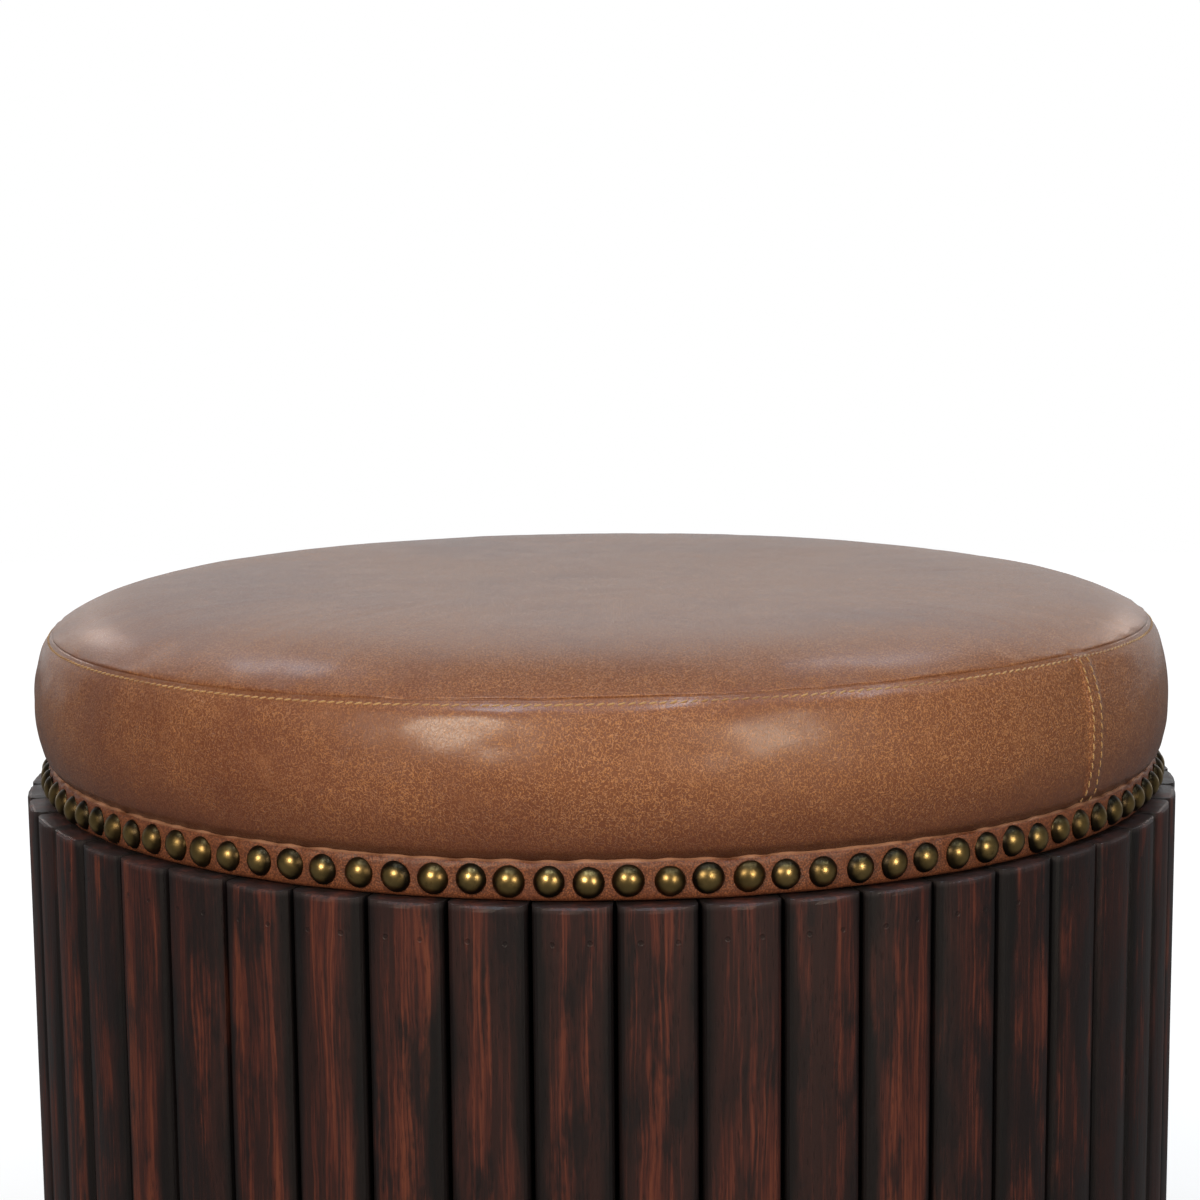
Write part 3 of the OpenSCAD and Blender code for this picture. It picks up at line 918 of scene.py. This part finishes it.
hide_colour = leather.layers(
    linear(124, 73, 42),
    ((188, 128, 79), ridge),
    ((96, 52, 30), pit * 0.2),
    ((98, 46, 26), cloudy * 0.55),
    ((178, 118, 70), leather.ease(mottle, 0.5, 0.8) * 0.25),
    ((82, 38, 24), painted_foot_shade * 0.58),
    ((46, 24, 18), band_shade * 0.6),
    ((112, 66, 38), stitch_line * 0.35),
)
hide_height = ridge * 0.5 - pit * 0.3 + crease * 0.35 - stitch_line * 0.6
tan_hide = leather.wear(
    Base_Color=hide_colour,
    Roughness=0.38 - 0.12 * ridge + 0.1 * pit + 0.1 * (mottle - 0.5),
    Coat_Weight=0.3 + 0.2 * cloud,
    Normal=leather.bump(hide_height, 0.00035, 0.6),
)
seat_mesh.materials.clear()
seat_mesh.materials.append(tan_hide)
seat = new_piece(
    "seat_cushion", seat_mesh, "seat_leather",
    "top_panel", "boxing_front", "boxing_back", "wadding", "foam_core",
)
print("leather nodes:", len(leather.tree.nodes))

# %% [markdown]
# ## Band
#
# The band is a narrow strip of darker hide, folded at both edges and tacked down by the nails.
# Between two nails it lifts a little, and its upper edge wavers. It is worked out directly, as
# rows of points round the drum: a simulation would lose so small a fold.

# %% The band's shape
BAND_COLUMNS = NAIL_COUNT * 12
BAND_JOINT = 0.0013
BAND_SECTION = (
    (-1.0, 0.0), (-1.0, 0.9), (-0.93, 1.6), (-0.8, 2.05), (-0.6, 2.2), (-0.3, 2.15), (0.0, 2.1),
    (0.3, 2.15), (0.6, 2.3), (0.78, 2.35), (0.92, 1.9), (1.0, 1.1), (1.0, 0.0),
)


def band_shape():
    """The band's rows. Its section runs from its foot at -1 to its top at 1, with the leather's
    thickness at each. Only the outer face lifts and wrinkles."""
    whole = 2 * math.pi - 2 * BAND_JOINT
    turn = math.pi + BAND_JOINT + np.arange(BAND_COLUMNS) * whole / (BAND_COLUMNS - 1)
    between = 0.5 - 0.5 * np.cos(nail_phase(turn))
    waver = noise_round(turn, 14, 0.3)
    ripple = noise_round(turn, 48, 4.3)
    high = BAND_TOP - 0.1 - 0.45 * between + 0.5 * waver + 0.35 * ripple
    low = BAND_FOOT + 0.25 + 0.25 * waver
    puff = 0.75 * between ** 0.7 + 0.25 * ripple
    middle = (high + low) / 2
    tall = (high - low) / 2
    section = []
    for up, thick in BAND_SECTION:
        radius = BAND_IN + thick + 0 * turn
        if thick > 1.2:
            radius = radius + puff * (1 - abs(up) ** 3 * 0.75) + 0.22 * noise_round(turn, 95, up * 1.2)
        section.append(on_seat(turn, radius, middle + up * tall))
    return np.stack(section)


band_mesh = grid_mesh("band_leather", band_shape(), closed_rows=True)
print("band faces:", len(band_mesh.polygons))

# %% The band's finish
strap = Finish("band_hide", {"Specular IOR Level": 0.45})
where = strap.place()
band_cells = strap.node("ShaderNodeTexVoronoi", {"feature": "SMOOTH_F1"}, {
    "Vector": strap.stretch(where, (1500, 1500, 1500)), "Scale": 1.0, "Smoothness": 0.3,
})
band_cloud = strap.noise(where, 60.0, 3.0, 0.6)
band_z = strap.parts(where)[2]
# Painted highlight: a light line along the band's upper fold.
fold_gap = band_z - (SLAT_TOP + BAND_TOP - 1.6) * MM + 0.0012 * (band_cloud - 0.5)
fold_highlight = strap.ease(fold_gap, 0.0003, 0.0013)
# Painted shade: darker along the band's foot, where it meets the slat tops.
band_foot_shade = strap.ease(band_z - (SLAT_TOP + 1.6) * MM, -0.001, 0.0008, 1.0, 0.0)
band_colour = strap.layers(
    linear(142, 84, 51),
    ((94, 52, 32), strap.ease(band_cells, 0.15, 0.7)),
    ((96, 50, 34), strap.ease(band_cloud, 0.45, 0.7) * 0.5),
    ((192, 142, 112), fold_highlight * 0.85),
    ((78, 42, 30), band_foot_shade * 0.4),
)
band_height = band_cells * -0.5 + strap.noise(where, 420.0, 3.0, 0.6) * 0.6
band_hide = strap.wear(
    Base_Color=band_colour,
    Roughness=0.46 + 0.16 * (band_cloud - 0.5),
    Normal=strap.bump(band_height, 0.0004, 0.6),
)
band_mesh.materials.append(band_hide)
new_piece("band_leather", band_mesh, "band_leather", "nail_band")
print("band finished")

# %% [markdown]
# ## Nails
#
# The nails are domed brass heads on thin shanks, driven by hand, so each sits a little askew.
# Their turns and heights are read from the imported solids. One head and its shank are turned
# from a few rings, and Geometry Nodes set a copy at each place, tilted and sized by a seeded
# chance.

# %% Where the nails are
HEAD_R = 243.4
HEAD_OFF = 0.15


def nail_places():
    """The foot of each nail's head, on the dressed band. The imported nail's points beyond HEAD_R
    are its head, and the middle of their box gives its turn and its height."""
    points = np.array([v.co for v in frame["nodes"]["nails"].data.vertices])
    flat = points[:, :2] - SEAT_MIDDLE
    turn = np.arctan2(flat[:, 0], -flat[:, 1])
    head = np.hypot(flat[:, 0], flat[:, 1]) > HEAD_R * MM
    number = np.round((turn[head] - NAIL_START) / NAIL_PITCH).astype(int) % NAIL_COUNT
    spots = []
    for k in range(NAIL_COUNT):
        mine = points[head][number == k]
        spot = (mine.min(axis=0) + mine.max(axis=0)) / 2
        out = spot[:2] - SEAT_MIDDLE
        out /= np.linalg.norm(out)
        spots.append((*(FOOT_MIDDLE + out * (BAND_OUT + HEAD_OFF) * MM), spot[2]))
    return spots


nail_mesh = bpy.data.meshes.new("nail_places")
nail_mesh.from_pydata(nail_places(), [], [])
print("nail places:", len(nail_mesh.vertices))

# %% The tree for the nails
studs = Pattern("nail_row", {
    "Radius": 5.75 * MM, "Dome": 3.8 * MM, "Shank": 0.9 * MM, "Shank Length": 13.5 * MM,
    "Askew": 0.09, "Middle X": FOOT_RIGHT * MM, "Middle Y": -FOOT_FRONT * MM,
})
ball = studs.node("GeometryNodeMeshUVSphere", None, {"Segments": 28, "Rings": 16, "Radius": 1.0})
ball_x, ball_y, ball_z = studs.parts(studs.node("GeometryNodeInputPosition"))
up = studs.maths("MAXIMUM", ball_z, 0.0)
under = studs.maths("MINIMUM", ball_z, 0.0)
head_wide = studs.size("Radius")
head_tall = studs.size("Dome")
bow = (head_wide * head_wide + head_tall * head_tall) / (head_tall * 2.0)
span = studs.arc(ball_z) * head_wide
cap = studs.maths("SQRT", bow * bow - span * span) - bow + head_tall
lip = 0.35 * MM * studs.ease(ball_z, 0.0, 0.2)
cap = cap * studs.maths("GREATER_THAN", ball_z, 0.0) + lip
rise = cap + studs.ease(under, -1.0, -0.34, -1.0, 0.0) * studs.size("Shank Length")
keep = studs.ease(under, -0.3, 0.0, 0.0, 1.0)
spread = keep * head_wide + (1.0 - keep) * studs.size("Shank")
dome = studs.store(ball, "rise", up)
dome = studs.node("GeometryNodeSetPosition", None, {
    "Geometry": dome, "Position": studs.vector(ball_x * spread, ball_y * spread, rise),
})
dome = studs.node("GeometryNodeSetShadeSmooth", None, {"Geometry": dome, "Shade Smooth": True})
nail_number = studs.node("GeometryNodeInputIndex")
spot_x, spot_y = studs.parts(studs.node("GeometryNodeInputPosition"))[:2]
out_way = studs.vector(
    spot_x - studs.size("Middle X"), spot_y - studs.size("Middle Y"),
    studs.chance(-0.016, 0.016, 31, nail_number),
)
aim = studs.node("FunctionNodeAlignRotationToVector", {"axis": "Z"}, {"Vector": out_way})
askew = studs.node("FunctionNodeEulerToRotation", None, {"Euler": studs.vector(
    studs.size("Askew") * studs.chance(-1.0, 1.0, 5, nail_number),
    studs.size("Askew") * studs.chance(-1.0, 1.0, 6, nail_number), studs.chance(-3.1, 3.1, 8, nail_number),
)})
turned = studs.node("FunctionNodeRotateRotation", {"rotation_space": "LOCAL"}, {
    "Rotation": aim, "Rotate By": askew,
})
numbered = studs.store(studs.size("Geometry"), "nail", nail_number)
heads = studs.node("GeometryNodeInstanceOnPoints", None, {
    "Points": numbered, "Instance": dome, "Rotation": turned,
    "Scale": studs.vector(
        studs.chance(0.96, 1.03, 12, nail_number), studs.chance(0.96, 1.03, 13, nail_number),
        studs.chance(0.9, 1.0, 14, nail_number),
    ),
})
studs.finish(heads)
print("nail tree has", len(studs.tree.nodes), "nodes")

# %% [markdown]
# ### Antique brass
#
# The heads are brass that was darkened and then rubbed bright on the dome. Towards the rim the
# dark is partly patina and partly painted shade, for the dark room that the rim reflects. The rub
# is read from the `rise` attribute, and a little noise breaks it up with spots and fine dents.

# %% The finish of the nails
brass = Finish("antique_brass", {"Metallic": 1.0})
where = brass.place()
tarnish = brass.noise(where, 260.0, 4.0, 0.6)
spots = brass.noise(where, 900.0, 2.0)
rise_up = brass.attribute("rise", "Fac")
# Bright on the crown; dark towards the rim, partly patina and partly painted shade.
rub_and_rim_shade = brass.ease(rise_up + 0.35 * (tarnish - 0.5), 0.55, 1.05)
metal_colour = brass.layers(
    linear(42, 38, 31),
    ((188, 160, 102), rub_and_rim_shade),
    ((136, 108, 62), brass.own_tone("nail") * 0.3),
    ((48, 42, 32), brass.ease(tarnish, 0.56, 0.74) * 0.6),
)
antique_brass = brass.wear(
    Base_Color=metal_colour,
    Roughness=0.38 - 0.1 * rub_and_rim_shade + 0.16 * brass.ease(tarnish, 0.45, 0.75),
    Normal=brass.bump(tarnish * 0.6 + spots * 0.3, 0.0003, 0.35),
)
nails = studs.laid_out("nail_heads", nail_mesh, {"Finish": antique_brass})
new_piece("nail_heads", nails, "nail_brass", "nails")
print("nails have", len(nails.polygons), "faces")

# %% [markdown]
# ## Stitching
#
# A line of golden thread runs just under the seam, and two lines hold each side seam. A path is
# laid on the cushion's real surface, with the surface's own direction at each point. Geometry
# Nodes cut it into stitches of one length and set a short round thread on each.

# %% Paths on the leather
leather_tree = BVHTree.FromPolygons(
    [v.co.copy() for v in seat_mesh.vertices], [tuple(p.vertices) for p in seat_mesh.polygons]
)


def stitch_path(name, guesses, closed):
    """A chain of points on the leather nearest to the guesses, with the way out at each."""
    found = [leather_tree.find_nearest(Vector(g)) for g in guesses]
    mesh = bpy.data.meshes.new(name)
    count = len(found)
    edges = [(i, (i + 1) % count) for i in range(count if closed else count - 1)]
    mesh.from_pydata([hit[0] for hit in found], edges, [])
    ways = mesh.attributes.new("out", "FLOAT_VECTOR", "POINT")
    ways.data.foreach_set("vector", np.array([hit[1] for hit in found]).ravel())
    return mesh


THREAD_POINTS = 720
thread_turn = np.arange(THREAD_POINTS) * 2 * math.pi / THREAD_POINTS
seam_guess = on_seat(thread_turn, SEAM_R + 1.2, seam_height(thread_turn) - 1.0)
paths = [stitch_path("seam_path", seam_guess, True)]
for seam in SIDE_SEAMS:
    for along in (0.3, 6.4):
        t = np.linspace(0.03, 0.95, 60)
        turn = seam + along / SIDE_R + 0 * t
        guess = on_seat(turn, side_radius(t), BAND_TOP + (seam_height(turn) - BAND_TOP) * t)
        paths.append(stitch_path("side_path", guess, False))
print("stitch paths:", len(paths))

# %% The tree for the stitches
sewing = Pattern("stitching", {"Pitch": 3.6 * MM, "Length": 3.1 * MM, "Thread": 0.8 * MM})
chain = sewing.node("GeometryNodeMeshToCurve", None, {"Mesh": sewing.size("Geometry")})
chain = sewing.node("GeometryNodeResampleCurve", {"mode": "LENGTH"}, {
    "Curve": chain, "Length": sewing.size("Pitch"),
})
stitch_number = sewing.node("GeometryNodeInputIndex")
aim = sewing.node("FunctionNodeAxesToRotation", {"primary_axis": "X", "secondary_axis": "Z"}, {
    "Primary Axis": sewing.node("GeometryNodeInputTangent"),
    "Secondary Axis": sewing.stored("out", "FLOAT_VECTOR"),
})
wobble = sewing.node("FunctionNodeEulerToRotation", None, {"Euler": sewing.vector(
    0.0, 0.0, 0.24 + sewing.chance(-0.1, 0.1, 3, stitch_number),
)})
turned = sewing.node("FunctionNodeRotateRotation", {"rotation_space": "LOCAL"}, {
    "Rotation": aim, "Rotate By": wobble,
})
bead = sewing.node("GeometryNodeMeshUVSphere", None, {"Segments": 8, "Rings": 6, "Radius": 0.5})
bead = sewing.node("GeometryNodeTransform", None, {"Geometry": bead, "Rotation": (0.0, math.pi / 2, 0.0)})
bead = sewing.node("GeometryNodeSetShadeSmooth", None, {"Geometry": bead, "Shade Smooth": True})
stitches = sewing.node("GeometryNodeInstanceOnPoints", None, {
    "Points": chain, "Instance": bead, "Rotation": turned,
    "Scale": sewing.vector(sewing.size("Length"), sewing.size("Thread"), sewing.size("Thread")),
})
sewing.finish(stitches)
print("stitch tree has", len(sewing.tree.nodes), "nodes")

# %% The thread's finish, and the stitches laid
thread = Finish("golden_thread", {"Specular IOR Level": 0.3, "Sheen Weight": 0.3})
where = thread.place()
twist = thread.node("ShaderNodeTexWave", {"bands_direction": "DIAGONAL"}, {
    "Vector": where, "Scale": 900.0, "Distortion": 1.5,
})
soil = thread.noise(where, 34.0, 3.0)
golden_thread = thread.wear(
    Base_Color=thread.blend(
        thread.blend(linear(204, 162, 104), linear(158, 116, 70), twist), linear(146, 102, 64),
        thread.ease(soil, 0.48, 0.66) * 0.7,
    ),
    Roughness=0.6 + 0.1 * twist,
    Normal=thread.bump(twist, 0.0002, 0.5),
)
for name, path in zip(("seam_stitches", "side_1_left", "side_1_right", "side_2_left", "side_2_right"), paths):
    mesh = sewing.laid_out(name, path, {"Finish": golden_thread})
    new_piece(name, mesh, "seat_leather")
    print(name, "has", len(mesh.polygons), "faces")

# %% [markdown]
# ## The hidden frame
#
# The plywood, the posts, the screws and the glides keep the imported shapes, but for the deck's
# rim. They only show from below, but each gets its own finish: plies and knots, straight grain,
# zinc and moulded plastic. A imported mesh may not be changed, so the deck is a copy, whose loose
# triangles are joined before its rim is drawn in to the foot of the cover.

# %% Plywood
def shade_behind_slats(finish, x, y):
    """1 on the faces that carry the slats, where a painted shade, near black, darkens the gaps between them.
    """
    return finish.ease(finish.away(x, y), (SLAT_BACK - 3.5) * MM, (SLAT_BACK - 2.0) * MM)


ply = Finish("birch_plywood", {"Specular IOR Level": 0.3})
where = ply.place()
ply_x, ply_y, ply_z = ply.parts(where)
swirl = ply.noise(where, (9, 60, 4), 4.0, 0.6, 0.8)
PLY_THICK = 1.5
plies = ply.ease(ply.maths("SINE", ply_z * (math.pi / (PLY_THICK * MM))), -0.25, 0.25)
plywood = ply.wear(
    Base_Color=ply.layers(
        linear(196, 160, 112),
        ((150, 108, 68), plies * 0.7),
        ((214, 182, 136), ply.ease(swirl, 0.35, 0.65) * 0.6),
        ((124, 84, 52), ply.ease(swirl, 0.66, 0.8) * 0.5),
        ((22, 15, 14), shade_behind_slats(ply, ply_x, ply_y)),
    ),
    Roughness=0.62 + 0.12 * swirl,
    Normal=ply.bump(swirl, 0.0003, 0.4),
)

# %% The deck
RIM_DEEP = 3
deck_mesh = frame["nodes"]["seat_deck"].data.copy()
deck_mesh.name = "deck_plywood"
deck_work = bmesh.new()
deck_work.from_mesh(deck_mesh)
bmesh.ops.remove_doubles(deck_work, verts=deck_work.verts, dist=0.01 * MM)
for point in deck_work.verts:
    out = point.co.xy - Vector(SEAT_MIDDLE)
    if out.length > (DECK_R - RIM_DEEP) * MM:
        point.co.xy = Vector(FOOT_MIDDLE) + out.normalized() * RIM_R * MM
deck_work.to_mesh(deck_mesh)
deck_work.free()
deck_mesh.materials.clear()
deck_mesh.materials.append(plywood)
new_piece("deck_plywood", deck_mesh, "plywood", "seat_deck")
print("deck points:", len(deck_mesh.vertices))

# %% Softwood, screws and glides
pine = Finish("pine", {"Specular IOR Level": 0.3})
where = pine.place()
pine_x, pine_y = pine.parts(where)[:2]
rings = pine.noise(where, (150, 150, 5), 4.0, 0.55, 0.6)
softwood = pine.wear(
    Base_Color=pine.layers(
        linear(214, 176, 118),
        ((168, 116, 66), pine.ease(rings, 0.42, 0.66)),
        ((22, 15, 14), shade_behind_slats(pine, pine_x, pine_y)),
    ),
    Roughness=0.6 + 0.14 * rings,
    Normal=pine.bump(rings, 0.0003, 0.4),
)
zinc = Finish("zinc_plate", {"Metallic": 1.0})
spangle = zinc.noise(zinc.place(), 700.0, 3.0)
screw_zinc = zinc.wear(
    Base_Color=zinc.blend(linear(176, 178, 182), linear(138, 140, 142), spangle),
    Roughness=0.28 + 0.2 * spangle,
    Normal=zinc.bump(spangle, 0.0001, 0.3),
)
plastic = Finish("moulded_plastic", {"Specular IOR Level": 0.4})
spark = plastic.noise(plastic.place(), 1500.0, 2.0)
dark_plastic = plastic.wear(
    Base_Color=plastic.blend(linear(38, 36, 36), linear(58, 54, 52), spark),
    Roughness=0.42 + 0.16 * spark,
    Normal=plastic.bump(spark, 0.0001, 0.5),
)
OWN_FINISH = {
    "top_hoop": plywood, "middle_hoop": plywood, "bottom_hoop": plywood,
    "base_panel": plywood, "deck_screws": screw_zinc, "post_screws": screw_zinc,
    "base_screws": screw_zinc, "glide_nails": screw_zinc, "glides": dark_plastic,
}
for name, node in frame["nodes"].items():
    finish = softwood if name.startswith("post_") and name != "post_screws" else OWN_FINISH.get(name)
    if finish:
        for slot in node.material_slots:
            slot.material = finish
print("hidden pieces finished:", len(OWN_FINISH) + 4)
